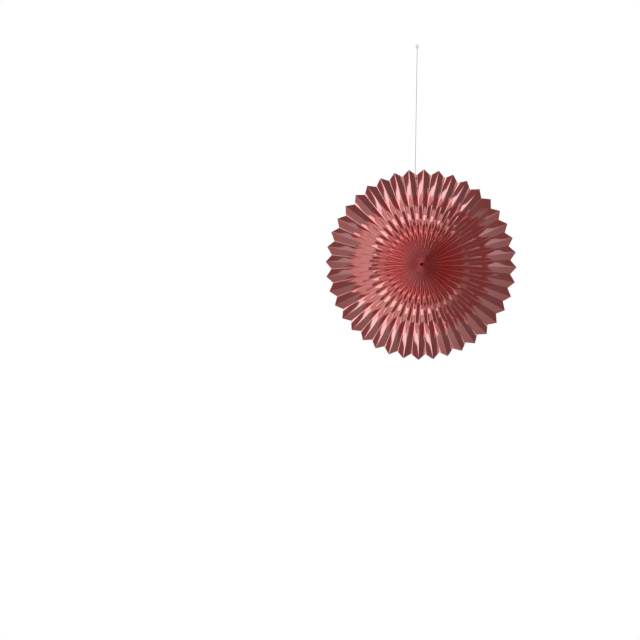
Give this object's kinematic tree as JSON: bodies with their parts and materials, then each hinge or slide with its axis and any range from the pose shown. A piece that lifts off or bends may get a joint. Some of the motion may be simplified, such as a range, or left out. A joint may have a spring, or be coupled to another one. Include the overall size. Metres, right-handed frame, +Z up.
{
  "type": "paper fan rosette",
  "caption": "Round pleated rosette of metallised rose-coloured card with a pointed rim, gathered at a small hub, hanging on a taut thread with a loop.",
  "frame": {"origin": "centre of the hang loop, where a hook or pin holds it", "axes": "+Z up, the rosette's front faces -Y, +X to the right as seen from the front"},
  "size_m": [0.3998, 0.0305, 0.6614],
  "materials": {
    "metallised_card": "metallised foil",
    "gathering_thread": "twisted thread",
    "hanging_thread": "twisted thread"
  },
  "bodies": {
    "root": {"paper_fan": "metallised_card", "gather_thread": "gathering_thread", "hanging_thread": "hanging_thread", "rim_tie": "hanging_thread", "hang_loop": "hanging_thread"}
  },
  "joints": []
}
